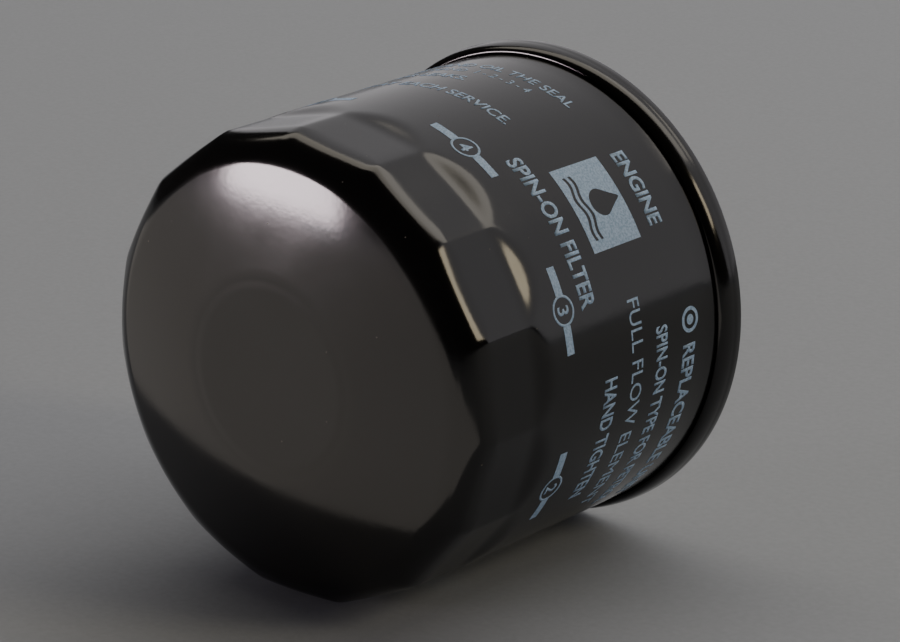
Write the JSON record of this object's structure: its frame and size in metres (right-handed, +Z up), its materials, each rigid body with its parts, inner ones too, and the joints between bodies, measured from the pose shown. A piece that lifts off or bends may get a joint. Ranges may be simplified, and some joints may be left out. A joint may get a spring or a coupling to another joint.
{
  "type": "spin-on oil filter",
  "caption": "Spin-on engine oil filter: a black drawn can with wrench flats round its domed end, a rolled seam, a sealing gasket and a threaded plate, with the element and valves inside.",
  "frame": {"origin": "on the surface the filter lies on, under the middle of its length", "axes": "+Y along the filter's axis, out of the open end with the gasket; the domed end with the wrench flats faces -Y; +Z up with the filter lying on its side"},
  "size_m": [0.0834, 0.0734, 0.0834],
  "materials": {
    "black_enamel": "gloss",
    "print_ink": "matte screen print",
    "lid_enamel": "gloss",
    "sealing_compound": "satin",
    "gasket_rubber": "oiled matte",
    "plate_steel": "zinc plated",
    "valve_rubber": "satin",
    "keeper_steel": "satin",
    "cap_steel": "tinned",
    "potting_resin": "satin",
    "tube_steel": "tinned",
    "filter_paper": "matte",
    "clip_steel": "satin",
    "valve_steel": "satin",
    "seal_rubber": "matte",
    "spring_steel": "polished wire"
  },
  "bodies": {
    "shell": {"can": "black_enamel", "seam_sealant": "sealing_compound", "seaming_lid": "lid_enamel", "sealing_gasket": "gasket_rubber", "tapping_plate": "plate_steel", "valve_keeper": "keeper_steel", "element_spring": "spring_steel"},
    "element": {"lower_end_cap": "cap_steel", "lower_potting": "potting_resin", "centre_tube": "tube_steel", "filter_media": "filter_paper", "pleat_clip": "clip_steel", "upper_potting": "potting_resin", "upper_end_cap": "cap_steel", "bypass_seat": "valve_steel", "bypass_cage": "valve_steel", "bypass_spring": "spring_steel"},
    "bypass_valve": {"bypass_disc": "valve_steel", "bypass_seal": "seal_rubber"},
    "drainback_lip": {"drainback_valve": "valve_rubber"}
  },
  "joints": [
    {"name": "element_float", "type": "slide", "parent": "shell", "child": "element", "axis": [0, -1, 0], "range_m": [0, 0.0012], "stiffness_N_per_m": 2000, "springref_m": -0.001, "deforming": ["element_spring"]},
    {"name": "bypass_lift", "type": "slide", "parent": "element", "child": "bypass_valve", "axis": [0, 1, 0], "range_m": [0, 0.003], "stiffness_N_per_m": 400, "springref_m": -0.002, "deforming": ["bypass_spring"]},
    {"name": "drainback_lift", "type": "slide", "parent": "shell", "child": "drainback_lip", "axis": [0, -1, 0], "range_m": [0, 0.0015], "stiffness_N_per_m": 150, "springref_m": -0.0005, "deforming": ["drainback_valve"]}
  ]
}
